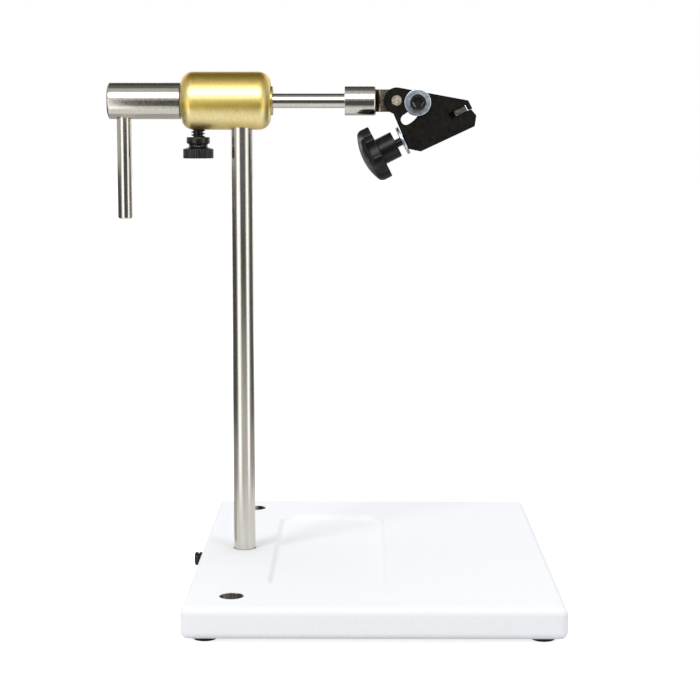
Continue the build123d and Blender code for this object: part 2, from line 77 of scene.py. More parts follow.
def placed(xAxis, yAxis, zAxis, origin):
    # a matrix from where the local axes and the origin go
    return Matrix.Translation(origin) @ Matrix((xAxis, yAxis, zAxis)).transposed().to_4x4()


def upright(x):
    return Matrix.Translation((x, 0, 0))


def facingTyer(x, z):
    # local x to the right, y down and z away from the tyer
    return placed((1, 0, 0), (0, 0, -1), (0, 1, 0), (x, 0, z))


asMade = Matrix.Identity(4)
lengthwise = (0, 1, 0), (0, 0, 1), (1, 0, 0)
onArm = placed(*lengthwise, (0, 0, layout["axisZ"]))                       # local z along the arm
onHead = placed((cos(lean), 0, sin(lean)), (sin(lean), 0, -cos(lean)), (0, 1, 0),
                (layout["pivotX"], 0, layout["axisZ"]))                    # local x along the jaw, y down it
onClamp = onHead @ placed(*lengthwise, (0, layout["clampDrop"], 0))        # local z along the clamp


# mesh helpers
sides = {"large": 128, "medium": 96, "small": 64, "tiny": 48, "hidden": 32}      # faces round a turned piece


def roundOff(bm, geom, size, segments, affect="EDGES", clamp=True):
    return bmesh.ops.bevel(bm, geom=geom, offset=size, offset_type="OFFSET", affect=affect,
                           segments=segments, profile=0.5, material=-1, clamp_overlap=clamp)["faces"]


def paint(faces, index):
    for f in faces:
        f.material_index = index


def turn(bm, profile, steps, closed=False, weld=5e-4, match=2e-4, sliver=1e-5):
    # profile rows: place along z and radius, then edge rounding and its segments where the edge has any
    verts = [bm.verts.new((row[1], 0, row[0])) for row in profile]
    edges = [bm.edges.new(pair) for pair in zip(verts, verts[1:])]
    if closed:
        edges.append(bm.edges.new((verts[-1], verts[0])))
    bmesh.ops.spin(bm, geom=verts + edges, cent=(0, 0, 0), axis=(0, 0, 1), dvec=(0, 0, 0),
                   angle=2 * pi, steps=steps, use_merge=True, use_duplicate=False)
    bmesh.ops.remove_doubles(bm, verts=bm.verts[:], dist=weld)
    bmesh.ops.recalc_face_normals(bm, faces=bm.faces[:])
    for along, radius, size, segments in [row for row in profile if len(row) == 4]:
        ring = [e for e in bm.edges if all(abs(v.co.z - along) < match and
                abs(hypot(v.co.x, v.co.y) - radius) < match for v in e.verts)]
        roundOff(bm, ring, size, segments, clamp=False)
    bmesh.ops.dissolve_degenerate(bm, dist=sliver, edges=bm.edges[:])


def rod(bm, low, high, radius, edge, segments, steps):
    turn(bm, [(low, 0), (low, radius, edge, segments), (high, radius, edge, segments), (high, 0)], steps)


def washer(bm, low, thick, bore, radius, edge):
    high = low + thick
    turn(bm, [(low, bore), (low, radius, edge, 3), (high, radius, edge, 3), (high, bore)],
         sides["medium"], closed=True)


def trace(bm, path):
    # closed outline: rows of two are corners, and rows of six are arcs
    # with a centre's x and y, radius, start and sweep in degrees, and steps
    ends = []
    for row in path:
        if len(row) == 2:
            v = bm.verts.new((*row, 0))
            ends.append((v, v))
        else:
            x, y, r, start, sweep, steps = row
            v = bm.verts.new((x + r * cos(radians(start)), y + r * sin(radians(start)), 0))
            made = bmesh.ops.spin(bm, geom=[v], cent=(x, y, 0), axis=(0, 0, 1), dvec=(0, 0, 0),
                                  angle=radians(sweep), steps=steps, use_merge=False, use_duplicate=False)
            ends.append((v, [g for g in made["geom_last"] if isinstance(g, bmesh.types.BMVert)][0]))
    for here, after in zip(ends, ends[1:] + ends[:1]):
        bm.edges.new((here[1], after[0]))


def rectangle(left, right, low, high):
    return [(left, low), (right, low), (right, high), (left, high)]


def ringAt(bm, x, y, radius, z=0.0, segments=40, turned=0.0):
    place = Matrix.Translation((x, y, z)) @ Matrix.Rotation(radians(turned), 4, "Z")
    made = bmesh.ops.create_circle(bm, cap_ends=False, segments=segments, radius=radius, matrix=place)
    ring = set(made["verts"])
    return [e for e in bm.edges if e.verts[0] in ring and e.verts[1] in ring]


def plate(bm, low, high, bevelLow=0.0, bevelHigh=0.0):
    # fills the traced outline and holes, and raises a slab with chamfered faces
    bmesh.ops.triangle_fill(bm, edges=bm.edges[:], use_beauty=True, use_dissolve=False)
    under = bm.faces[:]
    made = bmesh.ops.extrude_face_region(bm, geom=under, use_keep_orig=True)
    over = [g for g in made["geom"] if isinstance(g, bmesh.types.BMFace)]
    top = [g for g in made["geom"] if isinstance(g, bmesh.types.BMVert)]
    bottom = [v for v in bm.verts if v not in set(top)]
    bmesh.ops.translate(bm, verts=bottom, vec=(0, 0, low + bevelLow))
    bmesh.ops.translate(bm, verts=top, vec=(0, 0, high - bevelHigh))
    bmesh.ops.recalc_face_normals(bm, faces=bm.faces[:])
    for faces, size in ((under, bevelLow), (over, bevelHigh)):
        if size > 0:
            bmesh.ops.inset_region(bm, faces=faces, thickness=size, depth=size,
                                   use_boundary=True, use_even_offset=True)


def helixThread(bm, start, end, pitch, crest, root, steps=40, flatShare=0.14, weld=0.002):
    # one pitch of the thread's profile, screwed along z and cut square at both ends
    flat = pitch * flatShare
    low, middle = start - pitch, start - pitch / 2
    rows = [(low, root), (low + flat, root), (middle - flat / 2, crest), (middle + flat / 2, crest),
            (start - flat, root), (start, root)]
    verts = [bm.verts.new((r, 0, z)) for z, r in rows]
    edges = [bm.edges.new(pair) for pair in zip(verts, verts[1:])]
    turns = (end - start) / pitch + 1.0
    count = int(round(turns * steps))
    bmesh.ops.spin(bm, geom=verts + edges, cent=(0, 0, 0), axis=(0, 0, 1), dvec=(0, 0, pitch / steps),
                   angle=2 * pi * count / steps, steps=count, use_merge=False, use_duplicate=False)
    bmesh.ops.remove_doubles(bm, verts=bm.verts[:], dist=weld)
    for z, isLow in ((start, True), (end, False)):
        bmesh.ops.bisect_plane(bm, geom=bm.verts[:] + bm.edges[:] + bm.faces[:], plane_co=(0, 0, z),
                               plane_no=(0, 0, 1), clear_inner=isLow, clear_outer=not isLow)
    bmesh.ops.holes_fill(bm, edges=[e for e in bm.edges if e.is_boundary], sides=0)
    bmesh.ops.recalc_face_normals(bm, faces=bm.faces[:])


def flute(bm, low, high, radius, depth, teeth, columns=2, sunk=(1,), slack=1e-3):
    # straight knurl: the sunk columns of each tooth are pulled in
    for v in bm.verts:
        r = hypot(v.co.x, v.co.y)
        if low - slack <= v.co.z <= high + slack and r > radius - slack:
            column = int(round(atan2(v.co.y, v.co.x) / (2 * pi) * teeth * columns)) % columns
            if column in sunk:
                v.co.x *= (r - depth) / r
                v.co.y *= (r - depth) / r


def hexSocket(bm, top, floor, acrossFlats, turned=0.0, rimShare=0.1, match=2e-4):
    # closes a turned head's open top with a hex recess, and returns the faces of its chamfered rim
    rim = [e for e in bm.edges if e.is_boundary and all(abs(v.co.z - top) < match for v in e.verts)]
    hexagon = ringAt(bm, 0, 0, acrossFlats / sqrt(3), top, 6, turned)
    bmesh.ops.triangle_fill(bm, edges=rim + hexagon, use_beauty=True, use_dissolve=False)
    wall = bmesh.ops.extrude_edge_only(bm, edges=hexagon)["geom"]
    sunk = [g for g in wall if isinstance(g, bmesh.types.BMVert)]
    bmesh.ops.translate(bm, verts=sunk, vec=(0, 0, floor - top))
    loop = [g for g in wall if isinstance(g, bmesh.types.BMEdge) and all(v in sunk for v in g.verts)]
    bmesh.ops.edgeloop_fill(bm, edges=loop)
    bmesh.ops.recalc_face_normals(bm, faces=bm.faces[:])
    return roundOff(bm, hexagon, acrossFlats * rimShare, 1)


def join(bm, part, place=asMade):
    # adds another mesh to this one
    bmesh.ops.transform(part, matrix=place, verts=part.verts[:])
    held = bpy.data.meshes.new("held")
    part.to_mesh(held)
    part.free()
    bm.from_mesh(held)
    bpy.data.meshes.remove(held)


def drill(bm, start, end, radius, place, overshoot=2.0):
    # takes a round hole out of the mesh
    bit = bmesh.new()
    end += overshoot
    turn(bit, [(start, 0), (start, radius), (end, radius), (end, 0)], sides["tiny"])
    bmesh.ops.transform(bit, matrix=place, verts=bit.verts[:])
    pair = []
    for part in (bm, bit):
        held = bpy.data.meshes.new("held")
        part.to_mesh(held)
        pair.append(bpy.data.objects.new("held", held))
        scene.collection.objects.link(pair[-1])
    cut = pair[0].modifiers.new("cut", "BOOLEAN")
    cut.operation = "DIFFERENCE"
    cut.solver = "EXACT"
    cut.object = pair[1]
    done = bpy.data.meshes.new_from_object(pair[0].evaluated_get(bpy.context.evaluated_depsgraph_get()))
    bit.free()
    bm.clear()
    bm.from_mesh(done)
    bpy.data.meshes.remove(done)
    for part in pair:
        held = part.data
        bpy.data.objects.remove(part)
        bpy.data.meshes.remove(held)


def settle(bm, name, place, materials, body, nodes, sharp=34.0):
    # puts a finished mesh in the shared frame, in metres, ties it to its body and hides the nodes that it
    # stands in for
    bmesh.ops.transform(bm, matrix=Matrix.Scale(0.001, 4) @ place, verts=bm.verts[:])
    for f in bm.faces:
        f.smooth = True
    for e in bm.edges:
        e.smooth = not (len(e.link_faces) == 2 and e.calc_face_angle(0.0) > radians(sharp))
    mesh = bpy.data.meshes.new(name)
    bm.to_mesh(mesh)
    bm.free()
    for material in materials:
        mesh.materials.append(material)
    piece = bpy.data.objects.new(name, mesh)
    scene.collection.objects.link(piece)
    even = piece.modifiers.new("evenShading", "WEIGHTED_NORMAL")
    even.keep_sharp = True
    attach(piece, body)
    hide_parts(*nodes)


# material helpers

def newFinish(name, colour, metallic, roughness, specular):
    material = bpy.data.materials.new(name)
    material.use_nodes = True
    shader = material.node_tree.nodes["Principled BSDF"]
    shader.inputs["Base Color"].default_value = (*colour, 1)
    shader.inputs["Metallic"].default_value = metallic
    shader.inputs["Roughness"].default_value = roughness
    shader.inputs["Specular IOR Level"].default_value = specular
    return material, material.node_tree, shader


def grain(tree, scale, stretch, slant, detail=4.0, roughness=0.55):
    # noise on object coordinates; scale counts per metre
    coords = tree.nodes.new("ShaderNodeTexCoord")
    mapping = tree.nodes.new("ShaderNodeMapping")
    mapping.inputs["Scale"].default_value = stretch
    mapping.inputs["Rotation"].default_value = (0, radians(slant), 0)
    noise = tree.nodes.new("ShaderNodeTexNoise")
    noise.inputs["Scale"].default_value = scale
    noise.inputs["Detail"].default_value = detail
    noise.inputs["Roughness"].default_value = roughness
    tree.links.new(coords.outputs["Object"], mapping.inputs["Vector"])
    tree.links.new(mapping.outputs["Vector"], noise.inputs["Vector"])
    return noise.outputs["Fac"]


def ramp(tree, source, stops):
    node = tree.nodes.new("ShaderNodeValToRGB")
    elements = node.color_ramp.elements
    while len(elements) < len(stops):
        elements.new(0.5)
    for element, (place, colour) in zip(elements, stops):
        element.position = place
        element.color = (*colour, 1)
    tree.links.new(source, node.inputs["Fac"])
    return node.outputs["Color"]


def spread(tree, source, fromRange, toRange):
    node = tree.nodes.new("ShaderNodeMapRange")
    limits = zip(("From Min", "From Max", "To Min", "To Max"), (*fromRange, *toRange))
    for socket, limit in limits:
        node.inputs[socket].default_value = limit
    tree.links.new(source, node.inputs["Value"])
    return node.outputs["Result"]


def relief(tree, shader, source, strength, distance):
    node = tree.nodes.new("ShaderNodeBump")
    node.inputs["Strength"].default_value = strength
    node.inputs["Distance"].default_value = distance
    tree.links.new(source, node.inputs["Height"])
    tree.links.new(node.outputs["Normal"], shader.inputs["Normal"])


noiseRange = {"colour": (0.32, 0.68), "gloss": (0.3, 0.7)}     # the part of the noise that a finish uses


def mottled(name, dark, light, rough, scale, bump, depth,
            metallic=0.0, stretch=(1, 1, 1), slant=0.0, specular=0.5):
    # colour, gloss and relief that follow one grain; depth is the relief's, in metres
    middle = [(a + b) / 2 for a, b in zip(dark, light)]
    material, tree, shader = newFinish(name, middle, metallic, sum(rough) / 2, specular)
    noise = grain(tree, scale, stretch, slant)
    tint = ramp(tree, noise, list(zip(noiseRange["colour"], (dark, light))))
    tree.links.new(tint, shader.inputs["Base Color"])
    tree.links.new(spread(tree, noise, noiseRange["gloss"], rough), shader.inputs["Roughness"])
    relief(tree, shader, noise, bump, depth)
    return material


def paintLightByHeight(material, low, high, stops):
    # multiplies a finish's colour by painted light and shade that change from low to high, in metres
    tree = material.node_tree
    colour = tree.nodes["Principled BSDF"].inputs["Base Color"]
    grained = colour.links[0].from_socket
    coords = tree.nodes.new("ShaderNodeTexCoord")
    height = tree.nodes.new("ShaderNodeSeparateXYZ")
    tree.links.new(coords.outputs["Object"], height.inputs["Vector"])
    share = spread(tree, height.outputs["Z"], (low, high), (0.0, 1.0))
    paintedLight = tree.nodes.new("ShaderNodeMix")
    paintedLight.data_type = "RGBA"
    paintedLight.blend_type = "MULTIPLY"
    paintedLight.inputs["Factor"].default_value = 1.0
    # a mix node's colour sockets
    colourA, colourB, mixed = paintedLight.inputs[6], paintedLight.inputs[7], paintedLight.outputs[2]
    tree.links.new(grained, colourA)
    tree.links.new(ramp(tree, share, stops), colourB)
    tree.links.new(mixed, colour)


# finishes
powderCoat = mottled("powderCoat", dark=(0.885, 0.898, 0.925), light=(0.925, 0.938, 0.965),
                     rough=(0.6, 0.7), scale=1500, bump=0.12, depth=0.0001, specular=0.08)
# bare metal for the socket walls and their chamfers, and for painted glints in the angle screw's socket
bareMetalAndGlint = mottled("bareMetalAndGlint", dark=(0.22, 0.19, 0.17), light=(0.97, 0.94, 0.91), metallic=1.0,
                   rough=(0.2, 0.4), scale=420, stretch=(1, 1, 0.12), bump=0.3, depth=0.00005)
footRubber = mottled("footRubber", dark=(0.012, 0.012, 0.013), light=(0.02, 0.02, 0.021),
                     rough=(0.6, 0.75), scale=1800, bump=0.2, depth=0.00006, specular=0.3)
drawnSteel = mottled("drawnSteel", dark=(0.61, 0.58, 0.52), light=(0.69, 0.66, 0.60), metallic=1.0,
                     rough=(0.17, 0.24), scale=900, stretch=(1, 1, 0.03), bump=0.02, depth=0.00001)
turnedSteel = mottled("turnedSteel", dark=(0.56, 0.53, 0.465), light=(0.69, 0.66, 0.60), metallic=1.0,
                      rough=(0.12, 0.19), scale=2600, stretch=(1, 0.25, 0.25), bump=0.03, depth=0.00001)
darkBrownSteel = mottled("darkBrownSteel", dark=(0.20, 0.17, 0.12), light=(0.29, 0.255, 0.19), metallic=1.0,
                      rough=(0.2, 0.3), scale=2200, stretch=(1, 1, 0.3), bump=0.02, depth=0.00001)
handleSteel = mottled("handleSteel", dark=(0.59, 0.56, 0.50), light=(0.69, 0.66, 0.60), metallic=1.0,
                      rough=(0.14, 0.21), scale=1000, stretch=(1, 1, 0.04), bump=0.02, depth=0.00001)
brushedBrassPaintedLight = mottled("brushedBrassPaintedLight", dark=(0.83, 0.82, 0.79), light=(1.0, 1.0, 1.0), metallic=1.0,
                       rough=(0.37, 0.46), scale=3000, stretch=(1, 0.16, 0.16), slant=24.0,
                       bump=0.06, depth=0.00001)
# painted light on the brass by height: paler as painted highlight over the lower half and the bright band,
# deeper and more saturated as painted shade in the dark band and along the top
paintLightByHeight(brushedBrassPaintedLight, 0.200, 0.2252, [
    (0.06, (0.92, 0.73, 0.30)), (0.2, (0.97, 0.83, 0.43)), (0.31, (0.97, 0.81, 0.38)),
    (0.4, (0.85, 0.63, 0.13)), (0.62, (0.87, 0.75, 0.36)), (0.95, (0.84, 0.57, 0.08)),
])
plainBronze = mottled("plainBronze", dark=(0.50, 0.37, 0.12), light=(0.64, 0.49, 0.19), metallic=1.0,
                      rough=(0.3, 0.42), scale=1400, bump=0.1, depth=0.00002)
blackOxide = mottled("blackOxide", dark=(0.0022, 0.0019, 0.0015), light=(0.010, 0.0086, 0.0066),
                     rough=(0.42, 0.6), scale=600, bump=0.15, depth=0.00004, specular=0.1)
blackScrew = mottled("blackScrew", dark=(0.003, 0.003, 0.003), light=(0.009, 0.008, 0.007),
                     rough=(0.2, 0.32), scale=1200, bump=0.1, depth=0.00003)
zincPlate = mottled("zincPlate", dark=(0.38, 0.45, 0.52), light=(0.52, 0.58, 0.65), metallic=1.0,
                    rough=(0.24, 0.36), scale=700, bump=0.05, depth=0.00002)
# a lighter zinc that paints a highlight on the washers' rolled edges
zincPaintedHighlight = mottled("zincPaintedHighlight", dark=(0.60, 0.66, 0.72), light=(0.76, 0.81, 0.86), metallic=1.0,
                   rough=(0.25, 0.35), scale=900, bump=0.05, depth=0.00002)
pinSteel = mottled("pinSteel", dark=(0.22, 0.19, 0.13), light=(0.56, 0.52, 0.42), metallic=1.0,
                   rough=(0.35, 0.55), scale=2400, bump=0.5, depth=0.00003)
# steel darkened as painted shade for the push bar's key, which sits in the jaw slots
barSteelPaintedShade = mottled("barSteelPaintedShade", dark=(0.075, 0.068, 0.05), light=(0.16, 0.148, 0.115), metallic=1.0,
                    rough=(0.3, 0.45), scale=1600, stretch=(0.4, 1, 1), bump=0.1, depth=0.00002)
knobPlastic = mottled("knobPlastic", dark=(0.003, 0.003, 0.0034), light=(0.006, 0.006, 0.0064),
                      rough=(0.25, 0.36), scale=1500, bump=0.06, depth=0.00004, specular=0.24)
nylonPad = mottled("nylonPad", dark=(0.66, 0.63, 0.55), light=(0.78, 0.75, 0.68),
                   rough=(0.4, 0.5), scale=900, bump=0.05, depth=0.00003)
print("finishes made")

# base plate: rounded slab, shallow tray, stem hole and two open sockets
base = {
    "edge": 3.0, "edgeSteps": 8, "inset": 19.05, "level": 0.999,
    "socket": 4.8, "socketEdge": 0.2, "stemHole": 5.08,
    "trayInset": 32.9, "trayWidth": 48.8, "trayLength": 132.0, "trayCorner": 10.0, "cornerSteps": 12,
    "trayRim": 1.27, "trayBend": 65.0, "trayRound": 1.4, "trayFloor": 2.07, "bendSteps": 5,
}
baseLeft, baseRight = spanOf("base_plate", "x")
baseNear, baseFar = spanOf("base_plate", "y")
baseLow, baseTop = spanOf("base_plate", "z")
bm = bmesh.new()
bmesh.ops.create_cube(bm, size=1.0)
bmesh.ops.scale(bm, vec=(baseRight - baseLeft, baseFar - baseNear, baseTop - baseLow), verts=bm.verts[:])
baseCentre = ((baseLeft + baseRight) / 2, (baseNear + baseFar) / 2, (baseLow + baseTop) / 2)
bmesh.ops.translate(bm, verts=bm.verts[:], vec=baseCentre)
roundOff(bm, bm.edges[:], base["edge"], base["edgeSteps"])
flats = [f for f in bm.faces if abs(f.normal.z) > base["level"]]
flats = sorted(flats, key=lambda f: -f.calc_area())[:2]
topFace, lowFace = sorted(flats, key=lambda f: -f.calc_center_median().z)
topRim, lowRim = list(topFace.edges), list(lowFace.edges)
bmesh.ops.delete(bm, geom=[topFace, lowFace], context="FACES_ONLY")
socketY = baseFar - base["inset"]
wells = [(-socketY, base["socket"]), (socketY, base["socket"]), (0, base["stemHole"])]
topHoles = [ringAt(bm, layout["stemX"], y, r, baseTop, sides["small"]) for y, r in wells]
lowHoles = [ringAt(bm, layout["stemX"], y, r, baseLow, sides["small"]) for y, r in wells]

# the tray starts as a rounded face in the top, which is let down in steps along its rolled edge
trayX = baseLeft + base["trayInset"] + base["trayWidth"] / 2
wide, deep = base["trayWidth"] / 2 + base["trayRim"], base["trayLength"] / 2 + base["trayRim"]
corners = [bm.verts.new((x, y, baseTop)) for x, y in rectangle(trayX - wide, trayX + wide, -deep, deep)]
bm.faces.new(corners)
roundOff(bm, corners, base["trayCorner"] + base["trayRim"], base["cornerSteps"], "VERTICES", clamp=False)
trayFace = max(bm.faces, key=lambda f: len(f.verts))
bmesh.ops.triangle_fill(bm, edges=topRim + list(trayFace.edges) + [e for ring in topHoles for e in ring],
                        use_beauty=True, use_dissolve=False)
steep = radians(base["trayBend"])
bends = [steep * k / base["bendSteps"] for k in range(1, base["bendSteps"] + 1)]
rim, hollow = base["trayRound"], base["trayFloor"]
slope = [(0.0, 0.0)] + [(rim * sin(a), rim * (1 - cos(a))) for a in bends]
reach, sunk = slope[-1]
slope += [(reach + hollow * (sin(steep) - sin(a)), sunk + hollow * (cos(a) - cos(steep)))
          for a in (*reversed(bends[:-1]), 0.0)]
for (x0, z0), (x1, z1) in zip(slope, slope[1:]):
    bmesh.ops.inset_region(bm, faces=[trayFace], thickness=x1 - x0, depth=z0 - z1,
                           use_boundary=True, use_even_offset=True)
bmesh.ops.triangle_fill(bm, edges=lowRim + [e for ring in lowHoles for e in ring],
                        use_beauty=True, use_dissolve=False)
for upper, lower in zip(topHoles, lowHoles):
    paint(bmesh.ops.bridge_loops(bm, edges=upper + lower)["faces"], 1)
bmesh.ops.recalc_face_normals(bm, faces=bm.faces[:])
paint(roundOff(bm, topHoles[0] + topHoles[1], base["socketEdge"], 1), 1)
settle(bm, "basePlate", asMade, [powderCoat, bareMetalAndGlint], "base", ["base_plate"], sharp=40.0)
print("base plate made")

# rubber feet
foot = {"top": 5.1, "bottom": 4.7, "inset": 9.2, "round": 0.35}
bm = bmesh.new()
for x in (baseLeft + foot["inset"], baseRight - foot["inset"]):
    for y in (baseNear + foot["inset"], baseFar - foot["inset"]):
        pad = bmesh.new()
        turn(pad, [(0, 0), (0, foot["bottom"], foot["round"], 3), (baseLow, foot["top"]), (baseLow, 0)],
             sides["tiny"])
        join(bm, pad, Matrix.Translation((x, y, 0)))
settle(bm, "rubberFeet", asMade, [footRubber], "base", ["rubber_feet"])

# base clamp screw, seen at the plate's left side; local z runs out of the plate
baseScrew = {
    "shank": 2.085, "shankLength": 11.2, "head": 2.95, "standOff": 0.15, "flange": 1.2, "groove": 0.4,
    "grooveDepth": 0.6, "cap": 1.6, "edge": 0.15, "round": 0.6, "teeth": 24, "toothDepth": 0.18,
}
shank, head, edge = baseScrew["shank"], baseScrew["head"], baseScrew["edge"]
waist = head - baseScrew["grooveDepth"]
tip, flangeRear = -baseScrew["shankLength"], baseScrew["standOff"]
flangeFront = flangeRear + baseScrew["flange"]
capRear = flangeFront + baseScrew["groove"]
capFront = capRear + baseScrew["cap"]
bm = bmesh.new()
turn(bm, [(tip, 0), (tip, shank), (flangeRear, shank), (flangeRear, head, edge, 2),
          (flangeFront, head, edge, 2), (flangeFront, waist), (capRear, waist), (capRear, head, edge, 2),
          (capFront, head, baseScrew["round"], 4), (capFront, 0)], baseScrew["teeth"] * 2)
flute(bm, flangeRear, capFront - baseScrew["round"], head, baseScrew["toothDepth"], baseScrew["teeth"])
onSide = placed((0, 0, 1), (0, 1, 0), (-1, 0, 0), jointAt("base_screw_turn"))
settle(bm, "baseScrew", onSide, [blackScrew], "base_screw", ["base_clamp_screw"])

# stem
stem = {"radius": 4.7625, "edge": 0.5}
bm = bmesh.new()
rod(bm, *spanOf("stem", "z"), stem["radius"], stem["edge"], 2, sides["large"])
settle(bm, "stemRod", upright(layout["stemX"]), [drawnSteel], "column", ["stem"])
print("stem made")


def grubScrew(name, low, top, radius, acrossFlats, hexDepth, place, body, node):
    bm = bmesh.new()
    turn(bm, [(low, 0), (low, radius), (top, radius)], sides["tiny"])
    hexSocket(bm, top, top - hexDepth, acrossFlats)
    settle(bm, name, place, [blackScrew], body, [node])


# rotary housing, the grub screw at its back and its bushings
housing = {
    "radius": 12.498, "edge": 5.2, "bore": 4.7825,
    "screwZ": 203.069, "screwStart": 4.87, "screwEnd": 7.687, "screwRadius": 1.6, "hex": 1.5, "hexDepth": 1.2,
}
rear, front = spanOf("rotary_housing", "x")
bm = bmesh.new()
turn(bm, [(rear, housing["bore"]), (rear, housing["radius"], housing["edge"], 12),
          (front, housing["radius"], housing["edge"], 12), (front, housing["bore"])],
     sides["large"], closed=True)
bmesh.ops.transform(bm, matrix=onArm, verts=bm.verts[:])
onBack = facingTyer(layout["stemX"], housing["screwZ"])
drill(bm, housing["screwStart"], housing["radius"], housing["screwRadius"] + clearance, onBack)
settle(bm, "brassHousing", asMade, [brushedBrassPaintedLight], "column", ["rotary_housing"])
grubScrew("housingGrubScrew", housing["screwStart"], housing["screwEnd"], housing["screwRadius"],
          housing["hex"], housing["hexDepth"], onBack, "column", "stem_set_screw")
bushing = {"bore": 3.225, "outer": 4.7625, "flange": 6.3, "flangeEdge": 0.25, "rearEdge": 0.1}
bore, outer, flange = bushing["bore"], bushing["outer"], bushing["flange"]
inner, lip = spanOf("front_bushing", "x")
bm = bmesh.new()
turn(bm, [(inner, bore), (inner, outer), (front, outer), (front, flange),
          (lip, flange, bushing["flangeEdge"], 3), (lip, bore)], sides["medium"], closed=True)
settle(bm, "frontBushing", onArm, [plainBronze], "column", ["front_bushing"])
proud, inner = spanOf("rear_bushing", "x")
bm = bmesh.new()
turn(bm, [(proud, bore), (proud, outer, bushing["rearEdge"], 2), (inner, outer), (inner, bore)],
     sides["small"], closed=True)
settle(bm, "rearBushing", onArm, [plainBronze], "column", ["rear_bushing"])
print("housing made")

# spindle
spindle = {"radius": 3.175, "edge": 0.2}
bm = bmesh.new()
rod(bm, *spanOf("spindle_shaft", "x"), spindle["radius"], spindle["edge"], 2, sides["medium"])
settle(bm, "spindleShaft", onArm, [turnedSteel], "rotor", ["spindle_shaft"])

# drag thumb screw: thread, collar, waisted neck and straight-knurled head
drag = {
    "thread": 3.14, "root": 2.1, "pitch": 1.27, "sunk": 0.4,
    "collarTop": 196.95, "collar": 2.7, "collarRadius": 5.05, "collarEdge": 0.3, "collarUnder": 0.2,
    "neck": 2.4, "neckRadius": 4.05, "neckTop": 0.3, "neckFoot": 0.4, "flare": 0.8,
    "head": 4.1, "headRadius": 6.6, "edge": 0.2, "teeth": 44, "toothDepth": 0.12,
}
collarTop = drag["collarTop"]
collarLow = collarTop - drag["collar"]
headTop = collarLow - drag["neck"]
headLow = headTop - drag["head"]
rim, edge = drag["headRadius"], drag["edge"]
bm = bmesh.new()
threadTop = spanOf("drag_screw", "z")[1]
helixThread(bm, collarTop - drag["sunk"], threadTop, drag["pitch"], drag["thread"], drag["root"])
grip = bmesh.new()
turn(grip, [(collarTop, 0), (collarTop, drag["collarRadius"], drag["collarEdge"], 3),
            (collarLow, drag["collarRadius"], drag["collarUnder"], 2),
            (collarLow - drag["flare"] / 2, drag["neckRadius"], drag["neckTop"], 3),
            (headTop + drag["flare"], drag["neckRadius"], drag["neckFoot"], 3), (headTop, rim - edge),
            (headTop - edge, rim), (headLow + edge, rim), (headLow, rim - edge), (headLow, 0)],
     drag["teeth"] * 4)
flute(grip, headLow + edge, headTop - edge, rim, drag["toothDepth"], drag["teeth"], columns=4, sunk=(0, 1))
join(bm, grip)
dragX = jointAt("drag_screw_turn")[0]
settle(bm, "dragScrew", upright(dragX), [blackScrew], "drag_screw", ["drag_screw"])
print("drag screw made")

# crank hub, its handle and its grub screw
crank = {
    "radius": 7.9375, "rearEdge": 1.0, "frontEdge": 0.15,
    "handleX": -88.975, "handleRadius": 3.175, "handleEdge": 0.7,
    "screwX": -72.825, "screwRadius": 2.1, "hex": 1.98, "hexDepth": 1.6,
}
rear, front = spanOf("crank_hub", "x")
screwLow, screwTop = spanOf("hub_set_screw", "z")
onHub = upright(crank["screwX"])
bm = bmesh.new()
turn(bm, [(rear, 0), (rear, crank["radius"], crank["rearEdge"], 3),
          (front, crank["radius"], crank["frontEdge"], 2), (front, 0)], sides["large"])
bmesh.ops.transform(bm, matrix=onArm, verts=bm.verts[:])
drill(bm, screwLow, screwTop, crank["screwRadius"] + clearance, onHub)
settle(bm, "crankHub", asMade, [turnedSteel], "rotor", ["crank_hub"])
low, top = spanOf("crank_handle", "z")
bm = bmesh.new()
turn(bm, [(low, 0), (low, crank["handleRadius"], crank["handleEdge"], 2),
          (top, crank["handleRadius"]), (top, 0)], sides["medium"])
settle(bm, "crankHandle", upright(crank["handleX"]), [handleSteel], "rotor", ["crank_handle"])
grubScrew("hubGrubScrew", screwLow, screwTop, crank["screwRadius"], crank["hex"], crank["hexDepth"], onHub,
          "rotor", "hub_set_screw")
print("crank made")

# head yoke: collar, filleted neck and flat tang
yoke = {
    "collar": 6.35, "collarLength": 13.5, "collarEdge": 0.9, "rearEdge": 0.2, "bore": 3.195, "floor": 2.2,
    "shoulder": 2.4, "shoulderSteps": 10, "sunk": 0.3, "pivotReach": 8.9, "screwRadius": 9.1, "screwDip": 5.2,
    "tangHalf": 4.8, "tangThick": 4.6625, "tangBevel": 0.15, "tangEnd": 4.0, "tangWrap": 88.0,
    "tangSteps": 24,
}
rear = spanOf("head_yoke", "x")[0]
front = rear + yoke["collarLength"]
bm = bmesh.new()
turn(bm, [(front - yoke["floor"], 0), (front - yoke["floor"], yoke["bore"]), (rear, yoke["bore"]),
          (rear, yoke["collar"], yoke["rearEdge"], 2), (front, yoke["collar"], yoke["collarEdge"], 5),
          (front, 0)], sides["large"])
bmesh.ops.transform(bm, matrix=onArm, verts=bm.verts[:])
screwU = yoke["screwRadius"] * cos(radians(yoke["screwDip"]))
screwV = yoke["screwRadius"] * sin(radians(yoke["screwDip"]))
bend, half, bevel = yoke["shoulder"], yoke["tangHalf"], yoke["tangBevel"]
side = yoke["tangThick"] / 2 + bend
neck = bmesh.new()
trace(neck, [(-yoke["sunk"], -side), (bend, -side, bend, 180.0, -90.0, yoke["shoulderSteps"]),
             (bend, side, bend, 270.0, -90.0, yoke["shoulderSteps"]), (-yoke["sunk"], side)])
plate(neck, -half, half, bevel, bevel)
tang = bmesh.new()
trace(tang, [(-yoke["pivotReach"], -half), (0, -half),
             (screwU, screwV, yoke["tangEnd"], -yoke["tangWrap"], 2 * yoke["tangWrap"], yoke["tangSteps"]),
             (0, half), (-yoke["pivotReach"], half)])
